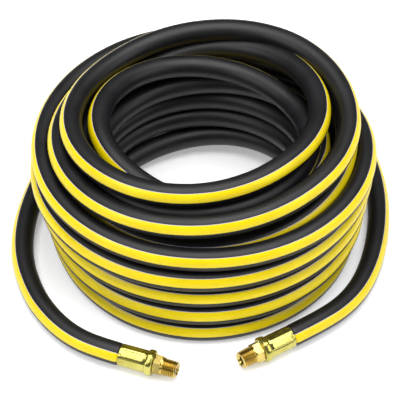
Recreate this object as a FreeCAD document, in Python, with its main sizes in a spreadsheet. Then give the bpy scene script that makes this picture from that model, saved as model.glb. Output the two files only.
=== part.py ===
import FreeCAD, Part
import math
import os

# A coiled rubber hose, 17.5 mm outside, with a crimped brass pipe-thread fitting on each end.
# It lies on the floor at height zero. The coil stands in the middle and two tails run round it
# to the fittings, which lie in front of it.

Vector = FreeCAD.Vector
doc = FreeCAD.newDocument("coiled_hose")
sheet = doc.addObject("Spreadsheet::Sheet", "Sizes")

SIZES = [
    # hose section
    ("hose_outer", 8.75),
    ("braid_outer", 6.8),
    ("braid_inner", 6.2),
    ("hose_bore", 4.75),
    # brass ferrule
    ("ferrule_length", 21.0),
    ("ferrule_outer", 8.5),
    ("ferrule_inner", 7.7),
    ("ferrule_flat", 8.3),
    ("bead_outer", 10.25),
    ("bead_length", 6.0),
    ("bead_round", 2.2),
    ("end_wall", 1.6),
    # brass stem
    ("neck_outer", 5.6),
    ("flow_bore", 3.2),
    ("bore_mouth", 4.6),
    ("countersink", 1.4),
    ("barb_count", 3.0),
    ("barb_length", 6.5),
    ("barb_low", 4.3),
    ("hex_flats", 14.3),
    ("hex_length", 6.6),
    ("thread_length", 11.4),
    ("thread_large", 6.95),
    ("thread_taper", 0.03125),
    ("thread_chamfer", 0.6),
    # coil
    ("coil_foot", 124.0),
    ("coil_waist", 131.0),
    ("coil_crown", 98.0),
    ("coil_inside", 76.0),
    ("coil_hole_foot", 84.0),
    ("coil_height", 122.0),
    ("waist_low", 58.0),
    ("waist_high", 90.0),
    ("coil_across", 2.0),
]

for row, (alias, value) in enumerate(SIZES, start=1):
    sheet.set("A%d" % row, alias)
    sheet.set("B%d" % row, str(value))
    sheet.setAlias("B%d" % row, alias)
doc.recompute()


def size(alias):
    return float(sheet.get(alias))


def bound(kind, name, **expressions):
    piece = doc.addObject(kind, name)
    for prop, expression in expressions.items():
        piece.setExpression(prop, expression)
    return piece


def at_height(piece, expression):
    piece.setExpression("Placement.Base.z", expression)
    return piece


def cylinder(name, radius, height, base="0"):
    piece = bound("Part::Cylinder", name, Radius=radius, Height=height)
    return at_height(piece, base)


def cone(name, low, high, height, base="0"):
    piece = bound("Part::Cone", name, Radius1=low, Radius2=high, Height=height)
    return at_height(piece, base)


def prism(name, sides, flats, height, base="0"):
    corner = "%s / cos(%g deg)" % (flats, 180.0 / sides)
    piece = bound("Part::Prism", name, Circumradius=corner, Height=height)
    piece.Polygon = sides
    return at_height(piece, base)


def fuse(name, shapes):
    piece = doc.addObject("Part::MultiFuse", name)
    piece.Shapes = shapes
    return piece


def common(name, shapes):
    piece = doc.addObject("Part::MultiCommon", name)
    piece.Shapes = shapes
    return piece


def cut(name, base, tool):
    piece = doc.addObject("Part::Cut", name)
    piece.Base = base
    piece.Tool = tool
    return piece


# Routes of the two tails, from each ferrule's mouth into the coil. The bead of the ferrule
# rests on the floor, so the hose comes up to the fitting's height in its last three points.
FLOOR = size("hose_outer")
FITTING = size("bead_outer")

LEFT_TAIL = [
    (-62.3, -145.3, FITTING),
    (-81.0, -138.4, FITTING),
    (-101.0, -125.0, 9.0),
    (-118.5, -105.0, FLOOR),
    (-132.0, -80.5, FLOOR),
    (-142.0, -45.0, FLOOR),
    (-142.0, -7.0, FLOOR),
    (-134.0, 31.5, FLOOR),
    (-123.0, 63.5, FLOOR),
    (-102.0, 96.5, FLOOR),
    (-71.5, 119.5, FLOOR),
    (-35.0, 130.0, FLOOR),
    (3.0, 126.5, FLOOR),
    (37.0, 110.0, FLOOR),
]

RIGHT_TAIL = [
    (65.4, -128.5, FITTING),
    (85.8, -116.0, FITTING),
    (108.0, -97.5, 9.0),
    (124.0, -74.0, FLOOR),
    (135.5, -41.0, FLOOR),
    (142.0, 0.5, FLOOR),
    (141.0, 39.5, FLOOR),
    (133.0, 77.5, FLOOR),
    (116.0, 112.5, FLOOR),
    (88.0, 140.5, FLOOR),
    (51.0, 156.5, FLOOR),
    (10.0, 159.5, 10.5),
    (-31.0, 151.5, 20.0),
    (-66.0, 131.5, 30.0),
    (-92.0, 99.5, 29.0),
    (-105.0, 63.5, 17.0),
]

TAILS = {"left": LEFT_TAIL, "right": RIGHT_TAIL}
BEND_SHARE = 0.45


def tail_path(side, points):
    """One wire of straight runs joined by tangent arcs."""
    points = [Vector(*point) for point in points]
    edges = []
    start = points[0]
    for before, corner, after in zip(points, points[1:], points[2:]):
        into = (corner - before).normalize()
        away = (after - corner).normalize()
        turn = into.getAngle(away)
        setback = BEND_SHARE * min((corner - before).Length, (after - corner).Length)
        radius = setback / math.tan(turn / 2)
        print("%s tail: turn %.1f degrees, radius %.0f mm" % (side, math.degrees(turn), radius))
        arc_start = corner - into * setback
        arc_end = corner + away * setback
        bisector = (away - into).normalize()
        centre = corner + bisector * (radius / math.cos(turn / 2))
        arc_middle = centre - bisector * radius
        edges.append(Part.LineSegment(start, arc_start).toShape())
        edges.append(Part.Arc(arc_start, arc_middle, arc_end).toShape())
        start = arc_end
    edges.append(Part.LineSegment(start, points[-1]).toShape())
    return Part.Wire(edges)


def fitting_placement(points):
    """Puts the local Z axis on the fitting's axis, pointing from the hose to the thread."""
    mouth = Vector(*points[0])
    outward = mouth - Vector(*points[1])
    return FreeCAD.Placement(mouth, FreeCAD.Rotation(Vector(0, 0, 1), outward))


# The coil: one closed solid of its outer shape, wider at the waist than at the foot,
# with the open centre that the turns leave.
def coil_solid():
    foot = size("coil_foot")
    waist = size("coil_waist")
    crown = size("coil_crown")
    inside = size("coil_inside")
    top = size("coil_height")
    outline = [
        Vector(inside / 2, 0, 0),
        Vector(foot, 0, 0),
        Vector(waist, 0, size("waist_low")),
        Vector(waist, 0, size("waist_high")),
        Vector(crown, 0, top),
        Vector(inside / 2, 0, top),
    ]
    outline.append(outline[0])
    face = Part.Face(Part.makePolygon(outline))
    barrel = face.revolve(Vector(0, 0, 0), Vector(0, 0, 1), 360)
    return barrel


barrel = doc.addObject("Part::Feature", "CoilBarrel")
barrel.Shape = coil_solid()
hole = cone("CoilHole", "Sizes.coil_hole_foot", "Sizes.coil_inside", "Sizes.coil_height")
coil = cut("HoseCoil", barrel, hole)
coil.Label = "hose_coil"
coil.Placement = FreeCAD.Placement(Vector(-size("coil_across"), 0, 0), FreeCAD.Rotation())

nodes = [coil]


def swept(name, path, points, radius):
    """A rod of one bound radius along the tail's path."""
    ring = bound("Part::Circle", name + "Ring", Radius=radius)
    start = Vector(*points[0])
    heading = Vector(*points[1]) - start
    ring.Placement = FreeCAD.Placement(start, FreeCAD.Rotation(Vector(0, 0, 1), heading))
    rod = doc.addObject("Part::Sweep", name)
    rod.Sections = [ring]
    rod.Spine = (path, ["Edge%d" % (i + 1) for i in range(len(path.Shape.Edges))])
    rod.Solid = True
    rod.Frenet = False
    return rod


def hose_layer(side, layer, path, points, outer, inner, crimped):
    """One layer of the hose: its tube along the tail and its sleeve inside the ferrule."""
    name = side.capitalize() + layer.capitalize()
    tube = cut(name + "Tube", swept(name + "Outer", path, points, outer),
               swept(name + "Inner", path, points, inner))
    free = cut(name + "Free", tube, coil)
    sleeve = cut(name + "Sleeve", cylinder(name + "SleeveOuter", crimped, "Sizes.ferrule_length"),
                 cylinder(name + "SleeveInner", inner, "Sizes.ferrule_length"))
    sleeve.Placement = fitting_placement(points)
    whole = fuse(name, [free, sleeve])
    whole.Label = "%s_tail_%s" % (side, layer)
    return whole


def ferrule(side, points):
    """A crimped ferrule: eight flats along its skirt and a round bead at its closed end."""
    name = side.capitalize() + "Ferrule"
    skirt = common(name + "Skirt", [
        cylinder(name + "SkirtRound", "Sizes.ferrule_outer", "Sizes.ferrule_length + 1"),
        prism(name + "SkirtFlats", 8, "Sizes.ferrule_flat", "Sizes.ferrule_length + 1"),
    ])
    bead = cylinder(name + "BeadBlank", "Sizes.bead_outer", "Sizes.bead_length",
                    "Sizes.ferrule_length")
    doc.recompute()
    rounded = doc.addObject("Part::Fillet", name + "Bead")
    rounded.Base = bead
    radius = size("bead_round")
    rims = [i + 1 for i, edge in enumerate(bead.Shape.Edges) if len(edge.Vertexes) == 1]
    rounded.Edges = [(i, radius, radius) for i in rims]
    blank = fuse(name + "Blank", [skirt, rounded])
    cavity = cylinder(name + "Cavity", "Sizes.ferrule_inner",
                      "Sizes.ferrule_length + Sizes.bead_length - Sizes.end_wall")
    eye = cylinder(name + "Eye", "Sizes.neck_outer", "Sizes.ferrule_length + Sizes.bead_length")
    piece = cut(name, blank, fuse(name + "Inside", [cavity, eye]))
    piece.Placement = fitting_placement(points)
    piece.Label = side + "_ferrule"
    return piece


def stem(side, points):
    """Barbed shank, neck, hexagon and tapered pipe thread, with one bore right through."""
    name = side.capitalize() + "Stem"
    pieces = []
    barbs = int(size("barb_count"))
    for i in range(barbs):
        base = "Sizes.ferrule_length - %d * Sizes.barb_length" % (i + 1)
        pieces.append(cone(name + "Barb%d" % (i + 1), "Sizes.barb_low", "Sizes.hose_bore",
                           "Sizes.barb_length", base))
    pieces.append(cylinder(name + "Neck", "Sizes.neck_outer", "Sizes.bead_length",
                           "Sizes.ferrule_length"))
    pieces.append(prism(name + "Hex", 6, "Sizes.hex_flats / 2", "Sizes.hex_length",
                        "Sizes.ferrule_length + Sizes.bead_length"))
    thread_base = "Sizes.ferrule_length + Sizes.bead_length + Sizes.hex_length"
    straight = "(Sizes.thread_length - Sizes.thread_chamfer)"
    shoulder = "(Sizes.thread_large - %s * Sizes.thread_taper)" % straight
    pieces.append(cone(name + "Thread", "Sizes.thread_large", shoulder, straight, thread_base))
    pieces.append(cone(name + "Tip", shoulder, shoulder + " - Sizes.thread_chamfer",
                       "Sizes.thread_chamfer", thread_base + " + " + straight))
    solid = fuse(name + "Blank", pieces)
    thread_end = thread_base + " + Sizes.thread_length"
    bore = cylinder(name + "Bore", "Sizes.flow_bore", thread_end)
    mouth = cone(name + "Mouth", "Sizes.flow_bore", "Sizes.bore_mouth", "Sizes.countersink",
                 thread_end + " - Sizes.countersink")
    piece = cut(name, solid, fuse(name + "Passage", [bore, mouth]))
    piece.Placement = fitting_placement(points)
    piece.Label = side + "_stem"
    return piece


for side, points in TAILS.items():
    path = doc.addObject("Part::Feature", side.capitalize() + "Path")
    path.Shape = tail_path(side, points)
    outer = "Sizes.hose_outer"
    braid = "Sizes.braid_outer"
    lining = "Sizes.braid_inner"
    nodes += [
        hose_layer(side, "cover", path, points, outer, braid, "Sizes.ferrule_inner"),
        hose_layer(side, "braid", path, points, braid, lining, braid),
        hose_layer(side, "liner", path, points, lining, "Sizes.hose_bore", lining),
        ferrule(side, points),
        stem(side, points),
    ]

doc.recompute()

failed = [o.Label for o in doc.Objects if "Invalid" in o.State or "Error" in o.State]
if failed:
    raise RuntimeError("not built: " + ", ".join(failed))
for node in nodes:
    if node.Shape.isNull() or not node.Shape.isValid():
        raise RuntimeError(node.Label + " is not a valid shape")

for side in TAILS:
    path = doc.getObject(side.capitalize() + "Path").Shape
    rod = doc.getObject(side.capitalize() + "CoverOuter").Shape
    section = math.pi * size("hose_outer") ** 2
    print("%s tail path %.1f mm, rod volume %.0f, section x length %.0f" % (
        side, path.Length, rod.Volume, section * path.Length))

box = FreeCAD.BoundBox()
os.makedirs("parts", exist_ok=True)
for node in nodes:
    box.add(node.Shape.optimalBoundingBox(False))
    node.Shape.exportStep("parts/%s.step" % node.Label)
    print("%-18s solids %d  volume %.0f mm3" % (node.Label, len(node.Shape.Solids), node.Shape.Volume))
print("box", box)
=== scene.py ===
import math
import bmesh
import bpy
from mathutils import Matrix, Vector


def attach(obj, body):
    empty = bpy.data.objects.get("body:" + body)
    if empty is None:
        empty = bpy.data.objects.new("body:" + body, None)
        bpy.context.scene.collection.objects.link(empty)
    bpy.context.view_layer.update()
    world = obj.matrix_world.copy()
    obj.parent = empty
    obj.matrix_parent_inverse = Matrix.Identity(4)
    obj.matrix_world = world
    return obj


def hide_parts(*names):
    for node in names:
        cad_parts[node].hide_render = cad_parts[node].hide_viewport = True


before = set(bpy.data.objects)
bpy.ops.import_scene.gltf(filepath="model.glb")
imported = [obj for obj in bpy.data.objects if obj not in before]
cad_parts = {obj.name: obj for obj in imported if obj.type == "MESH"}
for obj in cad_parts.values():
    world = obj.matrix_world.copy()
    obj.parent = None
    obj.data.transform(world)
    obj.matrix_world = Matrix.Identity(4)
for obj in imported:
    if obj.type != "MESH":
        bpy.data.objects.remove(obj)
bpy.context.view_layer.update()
print("frame loaded:", ", ".join(sorted(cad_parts)))

mm = 0.001
fullTurn = 2 * math.pi


camera = {
    "place": (-0.012, -1.1345, 1.180),
    "aim": (-0.002, -0.0325, 0.060),
    "lens": 183.6,  # on a 36 mm sensor, square frame
}


def addCamera():
    data = bpy.data.cameras.new("camera")
    data.lens = camera["lens"]
    data.sensor_width = 36
    data.clip_end = 20
    view = bpy.data.objects.new("camera", data)
    bpy.context.collection.objects.link(view)
    view.location = camera["place"]
    heading = Vector(camera["aim"]) - Vector(camera["place"])
    view.rotation_euler = heading.to_track_quat("-Z", "Y").to_euler()
    bpy.context.scene.camera = view


addCamera()
print("camera placed")


# sRGB hex to linear RGBA
def linear(hexColour):
    parts = [int(hexColour[i:i + 2], 16) / 255 for i in (1, 3, 5)]
    return [c / 12.92 if c <= 0.04045 else ((c + 0.055) / 1.055) ** 2.4 for c in parts] + [1]


def addNode(material, kind, values=None, links=None, **settings):
    tree = material.node_tree
    node = tree.nodes.new(kind)
    for key, value in settings.items():
        setattr(node, key, value)
    for socket, value in (values or {}).items():
        node.inputs[socket].default_value = value
    for socket, source in (links or {}).items():
        tree.links.new(source, node.inputs[socket])
    return node


def mixColour(material, factor, first, second):
    node = addNode(material, "ShaderNodeMix", data_type="RGBA")
    material.node_tree.links.new(factor, node.inputs[0])
    for socket, value in ((6, first), (7, second)):
        if isinstance(value, list):
            node.inputs[socket].default_value = value
        else:
            material.node_tree.links.new(value, node.inputs[socket])
    return node


# a noise's strength turned into a colour between two, at two places along the ramp
def colourRamp(material, noise, places, hexColours):
    ramp = addNode(material, "ShaderNodeValToRGB", None, {"Fac": noise.outputs["Fac"]})
    for element, place, hexColour in zip(ramp.color_ramp.elements, places, hexColours):
        element.position = place
        element.color = linear(hexColour)
    return ramp


def newMaterial(name):
    material = bpy.data.materials.new(name)
    material.use_nodes = True
    material.node_tree.nodes.clear()
    return material


def finishMaterial(material, shader):
    addNode(material, "ShaderNodeOutputMaterial", links={"Surface": shader.outputs[0]})
    return material


def makePiece(name, bm, material, sharpAngle=None):
    mesh = bpy.data.meshes.new(name)
    bmesh.ops.recalc_face_normals(bm, faces=bm.faces[:])
    for face in bm.faces:
        face.smooth = True
    bm.to_mesh(mesh)
    bm.free()
    if sharpAngle:
        mesh.set_sharp_from_angle(angle=math.radians(sharpAngle))
    mesh.materials.append(material)
    piece = bpy.data.objects.new(name, mesh)
    bpy.context.collection.objects.link(piece)
    return piece


hose = {
    "radius": 0.00875,
    "crimpedRadius": 0.0077,   # where the ferrule grips it
    "crimpedLength": 0.0035,   # how far the cover is seen to run into the ferrule
    "shoulder": 0.0030,        # length of the quarter round where it goes in
    "shoulderRings": (0.08, 0.25, 0.5, 0.8),
    "shoulderClear": 0.95,     # share of the shoulder that the route's own rings keep off
    "sides": 32,
    "curveSteps": 10,
    "stripeCentre": 27,        # degrees up from the outer side
    "stripeHalf": 24,
    # half width in degrees of the painted highlight, a pale line along the stripe's upper edge
    "paintedHighlightHalf": 1.3,
    "sharpAngle": 60,
    # the hose twists a little where one turn dives under the top ones: (turn, degrees)
    "twist": [(5.55, 0), (5.85, -50), (6.35, -50), (6.65, 0)],
}


# Both tails run from a ferrule's mouth along the floor, round the coil and into it.
leftTail = [
    (-0.0623, -0.1453, 0.01025), (-0.0810, -0.1384, 0.01025), (-0.1010, -0.1250, 0.00900),
    (-0.1185, -0.1050, 0.00875), (-0.1320, -0.0805, 0.00875), (-0.1420, -0.0450, 0.00875),
    (-0.1420, -0.0070, 0.00875), (-0.1340, 0.0315, 0.00875), (-0.1230, 0.0635, 0.00875),
    (-0.1020, 0.0965, 0.00875), (-0.0715, 0.1195, 0.00875), (-0.0350, 0.1300, 0.00875),
    (0.0030, 0.1265, 0.00875), (0.0370, 0.1100, 0.00875),
]
rightTail = [
    (0.0654, -0.1285, 0.01025), (0.0858, -0.1160, 0.01025), (0.1080, -0.0975, 0.00900),
    (0.1240, -0.0740, 0.00875), (0.1355, -0.0410, 0.00875), (0.1420, 0.0005, 0.00875),
    (0.1410, 0.0395, 0.00875), (0.1330, 0.0775, 0.00875), (0.1160, 0.1125, 0.00875),
    (0.0880, 0.1405, 0.00875), (0.0510, 0.1565, 0.00875), (0.0100, 0.1595, 0.01050),
    (-0.0310, 0.1515, 0.02000), (-0.0660, 0.1315, 0.03000), (-0.0920, 0.0995, 0.02900),
    (-0.1050, 0.0635, 0.01700),
]

# Each row is one turn. A stop says where the hose is at one place round the turn: degrees
# clockwise from the front, then radius and height in millimetres. The first turns stack up
# inside, the next ones cross at the top, and the last ones go down the outside to the floor.
coil = {
    "centre": (-0.002, 0.0055),
    "pointsPerTurn": 16,
    "startTurn": 225 / 360,
    "endTurn": 14.25,
    "turns": [
        [(180, 121, 8.75), (270, 89, 8.75)],
        [(0, 106, 8.75), (90, 88.5, 8.75), (145, 79, 12.5), (180, 81.5, 15.5), (215, 87, 20),
         (270, 90, 26.25)],
        [(0, 106, 26.25), (90, 91, 26.25), (180, 86, 34), (270, 90, 43.75)],
        [(0, 105, 43.75), (90, 91, 43.75), (180, 88, 52), (270, 91, 60)],
        [(0, 90, 60), (90, 86, 64), (180, 84, 72), (225, 92, 76), (250, 96.5, 77.5),
         (275, 94.5, 79), (315, 84, 82)],
        [(0, 77, 91.5), (45, 72, 98), (90, 78.8, 103), (135, 82.5, 98), (180, 82, 92),
         (225, 81, 90), (250, 84.5, 89), (280, 87, 95.5), (315, 89, 97)],
        [(0, 90, 96.5), (90, 91, 86), (135, 91.5, 84.5), (180, 101, 94), (225, 101.5, 105),
         (270, 93.7, 111.5), (315, 84.5, 114.5)],
        [(0, 87.5, 114), (45, 94.5, 111), (90, 101, 107), (135, 99.5, 104), (180, 103.5, 110.5),
         (225, 116, 112), (270, 118, 105.5), (315, 108.5, 103)],
        [(0, 107, 100), (90, 111, 91), (135, 108, 89), (180, 116, 95), (250, 119, 93),
         (270, 116, 88.5), (315, 111.5, 80.5)],
        [(0, 102, 71), (90, 102, 73), (135, 104, 72.5), (180, 108, 77), (225, 121, 77),
         (270, 131.5, 81), (315, 127.5, 80)],
        [(0, 120.5, 79), (90, 124.5, 79), (135, 129.5, 79), (180, 135, 79), (225, 136, 69),
         (270, 130, 63.5)],
        [(0, 125, 61.25), (90, 126, 61.25), (180, 124, 61), (270, 127, 46.5)],
        [(0, 124.8, 43.75), (90, 120.5, 43.75), (180, 120, 43.75), (270, 124, 29)],
        [(0, 127, 26.25), (90, 113.5, 26.5), (118, 106, 28.5), (150, 108, 27),
         (180, 114, 26.5), (225, 119, 19), (270, 118, 10)],
        [(0, 128, 8.75), (90, 113, 8.75), (180, 150, 25)],
    ],
}


def coilStops():
    stops = []
    for number, turn in enumerate(coil["turns"]):
        for degrees, radius, height in turn:
            stops.append((number + degrees / 360, Vector((radius, height)) * mm))
    return stops


# the radius and height at this turn of a smooth curve through the stops
def coilRadiusHeight(stops, turn):
    i = max(k for k, stop in enumerate(stops[:-1]) if k == 0 or stop[0] <= turn)

    def slope(k):
        before, after = stops[max(k - 1, 0)], stops[min(k + 1, len(stops) - 1)]
        return (after[1] - before[1]) / (after[0] - before[0])

    start, end = stops[i], stops[i + 1]
    span = end[0] - start[0]
    t = (turn - start[0]) / span
    return (start[1] * (2 * t ** 3 - 3 * t ** 2 + 1) + end[1] * (3 * t ** 2 - 2 * t ** 3)
            + slope(i) * span * (t ** 3 - 2 * t ** 2 + t) + slope(i + 1) * span * (t ** 3 - t ** 2))


def coilPoints():
    points = []
    stops = coilStops()
    count = coil["pointsPerTurn"]
    step = math.ceil(coil["startTurn"] * count)
    while step <= coil["endTurn"] * count:
        turn = step / count
        radius, height = coilRadiusHeight(stops, turn)
        angle = turn * fullTurn  # clockwise from the front, seen from above
        points.append((coil["centre"][0] - radius * math.sin(angle),
                       coil["centre"][1] - radius * math.cos(angle),
                       max(height, hose["radius"])))
        step += 1
    return points


# the NURBS spline that the points steer, read back as a chain of points
def smoothRoute(points):
    data = bpy.data.curves.new("route", "CURVE")
    data.dimensions = "3D"
    data.resolution_u = hose["curveSteps"]
    spline = data.splines.new("NURBS")
    spline.points.add(len(points) - 1)
    for point, place in zip(spline.points, points):
        point.co = (*place, 1)
    spline.order_u = 3
    spline.use_endpoint_u = True
    route = bpy.data.objects.new("route", data)
    bpy.context.collection.objects.link(route)
    line = bpy.data.meshes.new_from_object(route.evaluated_get(
        bpy.context.evaluated_depsgraph_get()))
    chain = [vertex.co.copy() for vertex in line.vertices]
    bpy.data.meshes.remove(line)
    bpy.data.objects.remove(route)
    return chain


controlPoints = leftTail + coilPoints() + rightTail[::-1]
path = smoothRoute(controlPoints)
pathLength = sum((b - a).length for a, b in zip(path, path[1:]))
print("route: %d control points, %d points, %.3f m" % (len(controlPoints), len(path), pathLength))


# Extruded EPDM cover: satin black, with a co-extruded yellow stripe that is a little glossier
# and a thin pale line along the stripe's upper edge, which is a painted highlight. Faint lines run
# along it from the die.
rubberFinish = {
    "black": ("#0C0C0E", "#151518"),
    "yellow": ("#E4CA00", "#EFD800"),
    # painted highlight: the thin pale line along the stripe's upper edge
    "line": "#B4AFC6",
    "roughness": (0.40, 0.52),
    "stripeGloss": -0.10,
    "marks": 38.0,             # per metre, so handling marks and dust are about 26 mm across
    "wander": 0.004,           # of the way round, so the stripe's edge wanders by about 0.1 mm
    "dieLines": (140.0, 9.0, 1.0),  # die lines about 0.4 mm apart, many centimetres long
}


def extrudedRubber():
    look = rubberFinish
    material = newMaterial("extrudedRubber")
    uv = addNode(material, "ShaderNodeUVMap", uv_map="hoseUv")
    spot = addNode(material, "ShaderNodeTexCoord")
    split = addNode(material, "ShaderNodeSeparateXYZ", links={0: uv.outputs[0]})
    edge = addNode(material, "ShaderNodeTexNoise", {"Scale": 90.0, "Detail": 2.0},
                   {"Vector": spot.outputs["Object"]})
    wander = addNode(material, "ShaderNodeMath", {1: look["wander"], 2: -look["wander"] / 2},
                     {0: edge.outputs["Fac"]}, operation="MULTIPLY_ADD")
    around = addNode(material, "ShaderNodeMath", None,
                     {0: split.outputs["X"], 1: wander.outputs[0]}, operation="ADD")

    def band(centreDegrees, halfDegrees):
        away = addNode(material, "ShaderNodeMath", {1: (centreDegrees + 180) / 360},
                       {0: around.outputs[0]}, operation="SUBTRACT")
        size = addNode(material, "ShaderNodeMath", None, {0: away.outputs[0]},
                       operation="ABSOLUTE")
        return addNode(material, "ShaderNodeMath", {1: halfDegrees / 360},
                       {0: size.outputs[0]}, operation="LESS_THAN")

    stripe = band(hose["stripeCentre"], hose["stripeHalf"])
    # the painted highlight: a thin pale band just above the stripe's upper edge
    line = band(hose["stripeCentre"] + hose["stripeHalf"] + hose["paintedHighlightHalf"], hose["paintedHighlightHalf"])
    marks = addNode(material, "ShaderNodeTexNoise",
                    {"Scale": look["marks"], "Detail": 5.0, "Roughness": 0.6},
                    {"Vector": spot.outputs["Object"]})
    black = colourRamp(material, marks, (0.35, 0.72), look["black"])
    yellow = colourRamp(material, marks, (0.30, 0.70), look["yellow"])
    colour = mixColour(material, stripe.outputs[0], black.outputs[0], yellow.outputs[0])
    # paints the pale highlight line over the stripe's upper edge
    colour = mixColour(material, line.outputs[0], colour.outputs[2], linear(look["line"]))
    glossy, dull = look["roughness"]
    rough = addNode(material, "ShaderNodeMapRange",
                    {"From Min": 0.3, "From Max": 0.7, "To Min": glossy, "To Max": dull},
                    {"Value": marks.outputs["Fac"]})
    smoother = addNode(material, "ShaderNodeMath", {1: look["stripeGloss"]},
                       {0: stripe.outputs[0], 2: rough.outputs[0]}, operation="MULTIPLY_ADD")
    stretch = addNode(material, "ShaderNodeMapping", {"Scale": look["dieLines"]},
                      {"Vector": uv.outputs[0]})
    dieLines = addNode(material, "ShaderNodeTexNoise", {"Scale": 1.0, "Detail": 3.0},
                       {"Vector": stretch.outputs[0]})
    bump = addNode(material, "ShaderNodeBump", {"Strength": 0.25, "Distance": 0.0002},
                   {"Height": dieLines.outputs["Fac"]})
    shader = addNode(material, "ShaderNodeBsdfPrincipled", {"IOR": 1.5, "Specular IOR Level": 0.4},
                     {"Base Color": colour.outputs[2], "Roughness": smoother.outputs[0],
                      "Normal": bump.outputs[0]})
    return finishMaterial(material, shader)


rubber = extrudedRubber()


# A copper and zinc alloy: bright, greenish yellow where it is pressed from sheet.
ferruleBrass = {
    "light": "#BDB664",
    "dark": "#A69C4C",
    "roughness": (0.20, 0.30),
    "grain": 90.0,  # per metre, so the tarnish is about 11 mm across
    "bump": 0.02,
}

# Free-cutting brass is redder, and its lathe marks run round it.
stemBrass = {
    "light": "#CBB769",
    "dark": "#AE9550",
    "roughness": (0.18, 0.27),
    "grain": 90.0,  # per metre, so the tarnish is about 11 mm across
    "latheMarks": 5200.0,  # per metre, so about 0.2 mm apart
    "bump": 0.08,
}


def brass(name, finish):
    material = newMaterial(name)
    spot = addNode(material, "ShaderNodeTexCoord")
    tarnish = addNode(material, "ShaderNodeTexNoise",
                      {"Scale": finish["grain"], "Detail": 4.0, "Roughness": 0.55},
                      {"Vector": spot.outputs["Object"]})
    colour = colourRamp(material, tarnish, (0.32, 0.62), (finish["dark"], finish["light"]))
    smooth, dull = finish["roughness"]
    rough = addNode(material, "ShaderNodeMapRange",
                    {"From Min": 0.3, "From Max": 0.7, "To Min": dull, "To Max": smooth},
                    {"Value": tarnish.outputs["Fac"]})
    height = tarnish.outputs["Fac"]
    if "latheMarks" in finish:
        along = addNode(material, "ShaderNodeAttribute", attribute_name="along")
        marks = addNode(material, "ShaderNodeTexNoise",
                        {"Scale": finish["latheMarks"], "Detail": 1.0},
                        {"W": along.outputs["Fac"]}, noise_dimensions="1D")
        height = marks.outputs["Fac"]
    bump = addNode(material, "ShaderNodeBump", {"Strength": finish["bump"], "Distance": 0.0001},
                   {"Height": height})
    shader = addNode(material, "ShaderNodeBsdfPrincipled", {"Metallic": 1.0},
                     {"Base Color": colour.outputs[0], "Roughness": rough.outputs[0],
                      "Normal": bump.outputs[0]})
    return finishMaterial(material, shader)


pressedBrass = brass("pressedBrass", ferruleBrass)
turnedBrass = brass("turnedBrass", stemBrass)
print("materials made")


# a frame across the hose: x to its outer side, y up, z along it
def ringFrame(place, heading):
    side = Vector((0, 0, 1)).cross(heading).normalized()
    up = heading.cross(side)
    frameMatrix = Matrix((side, up, heading)).transposed().to_4x4()
    return Matrix.Translation(place) @ frameMatrix


# how far the hose has twisted at this turn, with smooth steps between the stops
def twistAt(turn):
    stops = hose["twist"]
    for (start, before), (end, after) in zip(stops, stops[1:]):
        if start <= turn < end:
            t = (turn - start) / (end - start)
            return before + (after - before) * t * t * (3 - 2 * t)
    return 0


# a quarter-round shoulder where the cover goes into the ferrule
def shoulderRadius(toEnd):
    inside = max(0, 1 - toEnd / hose["shoulder"])
    squeeze = 1 - math.sqrt(max(0, 1 - inside ** 2))
    return hose["radius"] + (hose["crimpedRadius"] - hose["radius"]) * squeeze


# the frame, radius and distance along of every ring on the route
def hoseRings():
    headings = [(b - a).normalized() for a, b in zip(path, path[1:])]
    headings = [headings[0]] + [(a + b).normalized() for a, b in zip(headings, headings[1:])]
    headings.append((path[-1] - path[-2]).normalized())
    rings = []
    distance = 0
    last = path[0]
    turn = 0
    for place, heading in zip(path, headings):
        distance += (place - last).length
        last = place
        across, back = coil["centre"][0] - place.x, coil["centre"][1] - place.y
        around = math.atan2(across, back) / fullTurn
        turn += (around - turn + 0.5) % 1 - 0.5
        toEnd = min(distance, pathLength - distance)
        twist = Matrix.Rotation(math.radians(twistAt(turn)), 4, "Z")
        rings.append((ringFrame(place, heading) @ twist, shoulderRadius(toEnd), distance))
    return rings


# rings inside the ferrules, and a few close together at each shoulder
def addEndRings(rings):
    result = []
    first, last = rings[0], rings[-1]
    for base, way in ((first, -1), (last, 1)):
        heading = base[0].col[2].to_3d()
        place = base[0].translation
        near = []
        for share in (1.0, 0.0):
            near.append((ringFrame(place + heading * way * hose["crimpedLength"] * share, heading),
                         hose["crimpedRadius"], base[2] + way * hose["crimpedLength"] * share))
        for share in hose["shoulderRings"]:
            step = -way * hose["shoulder"] * share
            near.append((ringFrame(place + heading * step, heading),
                         shoulderRadius(abs(step)), base[2] + step))
        result.append(near)
    clear = hose["shoulder"] * hose["shoulderClear"]
    middle = [ring for ring in rings if clear < ring[2] < pathLength - clear]
    return result[0] + middle + result[1][::-1]


def makeHose():
    rings = addEndRings(hoseRings())
    bm = bmesh.new()
    uvLayer = bm.loops.layers.uv.new("hoseUv")
    # a flat strip one hose round wide, rolled up ring by ring
    bmesh.ops.create_grid(bm, x_segments=hose["sides"], y_segments=len(rings) - 1, size=1,
                          calc_uvs=True)
    cells = {}
    for vertex in bm.verts:
        share = (vertex.co.x + 1) / 2
        number = round((vertex.co.y + 1) / 2 * (len(rings) - 1))
        cells[vertex] = (share, number)
    for face in bm.faces:
        for loop in face.loops:
            share, number = cells[loop.vert]
            loop[uvLayer].uv = (share, rings[number][2])
    for vertex, (share, number) in cells.items():
        ring, radius, distance = rings[number]
        angle = share * fullTurn - math.pi  # the seam is on the inner side
        vertex.co = ring @ Vector((radius * math.cos(angle), radius * math.sin(angle), 0))
    bmesh.ops.remove_doubles(bm, verts=bm.verts[:], dist=1e-6)
    bmesh.ops.holes_fill(bm, edges=[edge for edge in bm.edges if edge.is_boundary], sides=0)
    return makePiece("hose", bm, rubber, hose["sharpAngle"])


hoseTube = makeHose()
print("hose made:", len(hoseTube.data.polygons), "faces")


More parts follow.
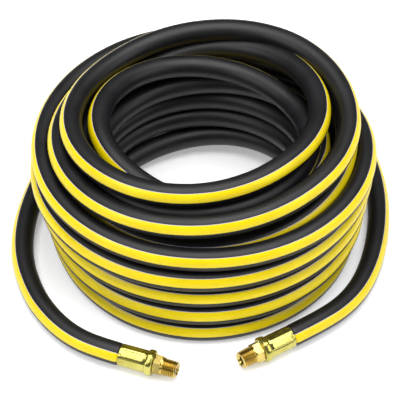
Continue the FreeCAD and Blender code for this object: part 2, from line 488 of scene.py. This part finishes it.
# Both fittings are made along the Z axis, in millimetres, from the ferrule's mouth at zero
# to the thread's end, and are then turned onto the tail they close.
ferrule = {
    "length": 21, "outer": 8.55, "inner": 7.7, "flat": 8.42, "flats": 8,
    "lip": 0.45, "lipRound": 1.3,  # the rolled lip stays round this far in
    "skirtRings": (2.0, 2.6), "skirtStart": 3.2, "skirtStop": 0.8, "ringsApart": 1.2,
    "crimpStop": 0.5, "crimpIn": 1.5, "crimpOut": 1.0,  # where the flats fade in and out
    "ridge": 0.16, "ridgeApart": 7.0, "ridgeWidth": 3.4,  # pairs left between the crimping jaws
    "groove": 0.5, "grooveStart": 0.3,
    "beadOuter": 10.25, "beadLength": 6, "beadRound": 2.2, "beadDent": 0.35,
    "endWall": 1.6,
    "roll": 10, "sharpAngle": 65,
    "steps": 240,
}
stem = {
    "neck": 5.55, "bore": 3.2, "boreMouth": 4.6, "countersink": 1.4,
    "barbs": 3, "barbLength": 6.5, "barbLow": 4.3, "barbHigh": 4.7,
    "hexFlats": 14.3, "hexLength": 6.6, "hexChamfer": 0.55, "hexRim": 0.15,
    "gap": 0.05,  # left between faces that would otherwise touch
    "threadLength": 11.4, "threadLarge": 6.95, "threadTaper": 0.03125, "threadChamfer": 0.6,
    "pitch": 1.411, "threadDepth": 1.25, "crestShare": 0.08, "rootShare": 0.9,
    "runOut": 1.6, "stationsPerPitch": 12,
    "roll": 16, "sharpAngle": 28,
    "steps": 144,
}


# points (along, out) on an arc, angles in degrees from the axis
def arc(centre, radius, start, end, steps):
    points = []
    for i in range(steps + 1):
        angle = math.radians(start + (end - start) * i / steps)
        points.append((centre[0] + radius * math.cos(angle),
                       centre[1] + radius * math.sin(angle)))
    return points


def stations(start, end, apart):
    count = max(1, round((end - start) / apart))
    return [start + (end - start) * i / count for i in range(count + 1)]


# spins a closed outline round Z, then gives each outer point the radius reshape returns
def lathe(outline, steps, reshape):
    bm = bmesh.new()
    alongLayer = bm.verts.layers.float.new("along")
    ring = [bm.verts.new((out, 0, along)) for along, out in outline]
    for a, b in zip(ring, ring[1:] + ring[:1]):
        bm.edges.new((a, b))
    bmesh.ops.spin(bm, geom=bm.verts[:] + bm.edges[:], cent=(0, 0, 0), axis=(0, 0, 1),
                   angle=fullTurn, steps=steps, use_merge=True, use_duplicate=False)
    bmesh.ops.remove_doubles(bm, verts=bm.verts[:], dist=1e-4)
    for vertex in bm.verts:
        angle = math.atan2(vertex.co.y, vertex.co.x)
        radius = math.hypot(vertex.co.x, vertex.co.y)
        wanted = reshape(vertex.co.z, angle, radius)
        vertex.co.x *= wanted / radius
        vertex.co.y *= wanted / radius
        vertex[alongLayer] = vertex.co.z * mm
    return bm


def ferruleOutline():
    f = ferrule
    lip = f["lip"]
    skirtEnd = f["length"] - f["skirtStop"]
    beadEnd = f["length"] + f["beadLength"]
    low = f["beadOuter"] - f["beadRound"]
    outline = arc((lip, f["inner"] + lip), lip, 270, 90, 8)
    outline += [(z, f["outer"]) for z in f["skirtRings"]]
    outline += [(z, f["outer"]) for z in stations(f["skirtStart"], skirtEnd, f["ringsApart"])]
    outline += [(f["length"] - f["grooveStart"], f["outer"] - f["groove"]), (f["length"], low)]
    outline += arc((f["length"] + f["beadRound"], low), f["beadRound"], 165, 90, 7)
    outline += [(f["length"] + f["beadLength"] / 2, f["beadOuter"])]
    outline += arc((beadEnd - f["beadRound"], low), f["beadRound"], 90, 0, 8)
    hole = stem["neck"] + stem["gap"]
    outline += [(beadEnd, hole), (beadEnd - f["endWall"], hole),
                (beadEnd - f["endWall"], f["inner"])]
    return outline


def ferruleShape(z, angle, radius):
    f = ferrule
    sector = fullTurn / f["flats"]
    fromFlat = (angle + sector / 2) % sector - sector / 2
    fromCorner = math.degrees(sector / 2 - abs(fromFlat))
    if radius < f["inner"] + 0.1:
        return radius
    if z < f["lipRound"]:
        return radius
    crimpEnd = f["length"] - f["crimpStop"]
    if z < crimpEnd:
        flat = min(radius, f["flat"] / math.cos(fromFlat))
        ridge = math.exp(-((fromCorner - f["ridgeApart"]) / f["ridgeWidth"]) ** 2)
        fade = min(1, (z - f["lipRound"]) / f["crimpIn"], (crimpEnd - z) / f["crimpOut"])
        return radius + (flat - radius + ridge * f["ridge"]) * fade
    across = min(1, max(0, radius - f["inner"]) / (f["beadOuter"] - f["inner"]))
    dent = f["beadDent"] * across * (0.5 + 0.5 * math.cos(f["flats"] * fromFlat))
    return radius - dent


def stemOutline():
    s = stem
    f = ferrule
    outline = []
    for i in range(s["barbs"], 0, -1):
        base = f["length"] - s["barbLength"] * i
        outline += [(base, s["barbLow"]), (base + s["barbLength"] - s["gap"], s["barbHigh"])]
    hexStart = f["length"] + f["beadLength"]
    hexEnd = hexStart + s["hexLength"]
    corner = s["hexFlats"] / 2 / math.cos(math.pi / 6)
    rim = s["hexFlats"] / 2 - s["hexRim"]
    face = hexStart + s["gap"]
    outline += [(f["length"], s["neck"]), (face, s["neck"]), (face, rim)]
    outline += [(z, corner) for z in stations(hexStart + s["hexChamfer"],
                                              hexEnd - s["hexChamfer"], 1.0)]
    outline += [(hexEnd, rim), (hexEnd, s["threadLarge"])]
    end = hexEnd + s["threadLength"]
    for z in stations(hexEnd, end, s["pitch"] / s["stationsPerPitch"])[1:]:
        outline.append((z, s["threadLarge"]))
    outline += [(end, s["boreMouth"]), (end - s["countersink"], s["bore"])]
    outline += [(z, s["bore"]) for z in (hexEnd, f["length"], f["length"] / 2)]
    outline.append((f["length"] - s["barbLength"] * s["barbs"], s["bore"]))
    return outline


def stemShape(z, angle, radius):
    s = stem
    hexStart = ferrule["length"] + ferrule["beadLength"]
    hexEnd = hexStart + s["hexLength"]
    if radius < s["neck"] + 0.1:
        return radius
    if z < hexEnd - 0.01:
        sector = fullTurn / 6
        fromFlat = (angle + sector / 2) % sector - sector / 2
        return min(radius, s["hexFlats"] / 2 / math.cos(fromFlat))
    if radius > s["threadLarge"] + 0.01:
        return radius
    depthIn = z - hexEnd
    major = s["threadLarge"] - s["threadTaper"] * depthIn
    phase = (z / s["pitch"] - angle / fullTurn) % 1
    flank = max(0, abs(phase - 0.5) * 2 - s["crestShare"]) / (1 - s["crestShare"])
    cut = min(flank, s["rootShare"]) * s["threadDepth"] * min(1, depthIn / s["runOut"])
    tip = major - max(0, depthIn - s["threadLength"] + s["threadChamfer"])
    return min(major - cut, tip)


def placeFitting(bm, tail, roll):
    mouth = Vector(tail[0])
    outward = (mouth - Vector(tail[1])).normalized()
    turn = Vector((0, 0, 1)).rotation_difference(outward).to_matrix().to_4x4()
    spin = Matrix.Rotation(math.radians(roll), 4, "Z")
    bmesh.ops.transform(bm, verts=bm.verts[:], matrix=Matrix.Translation(mouth) @ turn @ spin
                        @ Matrix.Scale(mm, 4))


# way is 1 on the left and -1 on the right, where both pieces are rolled the other way
def makeFitting(side, tail, way):
    bm = lathe(ferruleOutline(), ferrule["steps"], ferruleShape)
    placeFitting(bm, tail, way * ferrule["roll"])
    sleeve = makePiece(side + "FerruleBrass", bm, pressedBrass, ferrule["sharpAngle"])
    bm = lathe(stemOutline(), stem["steps"], stemShape)
    placeFitting(bm, tail, -way * stem["roll"])
    threaded = makePiece(side + "StemBrass", bm, turnedBrass, stem["sharpAngle"])
    return sleeve, threaded


leftFerrule, leftStem = makeFitting("left", leftTail, 1)
rightFerrule, rightStem = makeFitting("right", rightTail, -1)
print("fittings made")


for piece in (hoseTube, leftFerrule, leftStem, rightFerrule, rightStem):
    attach(piece, "root")
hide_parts("hose_coil", "left_tail_cover", "left_tail_braid", "left_tail_liner",
            "right_tail_cover", "right_tail_braid", "right_tail_liner")
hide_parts("left_ferrule")
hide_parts("right_ferrule")
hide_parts("left_stem")
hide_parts("right_stem")
print("pieces joined to the frame")


studio = {
    "floorSize": 6.0,
    "floorColour": "#F4F4F4",
    "floorGlow": 0.4,  # a light table, so the ground stays white between the turns
    "sky": ("#FFFFFF", 0.16),
    # place, aim, width, height, power
    "lights": [
        ((0.0, 0.0, 1.6), (0, 0, 0.05), 1.7, 1.5, 36.0),
        ((-1.5, -0.9, 1.2), (0, 0, 0.05), 0.9, 0.9, 12.0),
        ((1.5, -0.6, 1.0), (0, 0, 0.05), 0.8, 0.8, 8.0),
    ],
}


def addStudio():
    bm = bmesh.new()
    bmesh.ops.create_grid(bm, x_segments=1, y_segments=1, size=studio["floorSize"] / 2)
    material = newMaterial("paperFloor")
    # matt white paper
    spot = addNode(material, "ShaderNodeTexCoord")
    fibre = addNode(material, "ShaderNodeTexNoise", {"Scale": 900.0, "Detail": 2.0},
                    {"Vector": spot.outputs["Object"]})
    bump = addNode(material, "ShaderNodeBump", {"Strength": 0.05, "Distance": 0.0001},
                   {"Height": fibre.outputs["Fac"]})
    shader = addNode(material, "ShaderNodeBsdfPrincipled",
                     {"Base Color": linear(studio["floorColour"]), "Roughness": 0.9,
                      "Emission Color": linear(studio["floorColour"]),
                      "Emission Strength": studio["floorGlow"]},
                     {"Normal": bump.outputs[0]})
    floor = makePiece("floor", bm, finishMaterial(material, shader))
    world = bpy.data.worlds.new("studio")
    world.use_nodes = True
    colour, strength = studio["sky"]
    background = world.node_tree.nodes["Background"]
    background.inputs["Color"].default_value = linear(colour)
    background.inputs["Strength"].default_value = strength
    bpy.context.scene.world = world
    for number, (place, aim, width, height, power) in enumerate(studio["lights"]):
        data = bpy.data.lights.new("softbox%d" % number, "AREA")
        data.shape = "RECTANGLE"
        data.size = width
        data.size_y = height
        data.energy = power
        lamp = bpy.data.objects.new("softbox%d" % number, data)
        bpy.context.collection.objects.link(lamp)
        lamp.location = place
        lamp.rotation_euler = (Vector(aim) - Vector(place)).to_track_quat("-Z", "Y").to_euler()
    bpy.context.scene.view_settings.view_transform = "Standard"


addStudio()
print("studio lit")
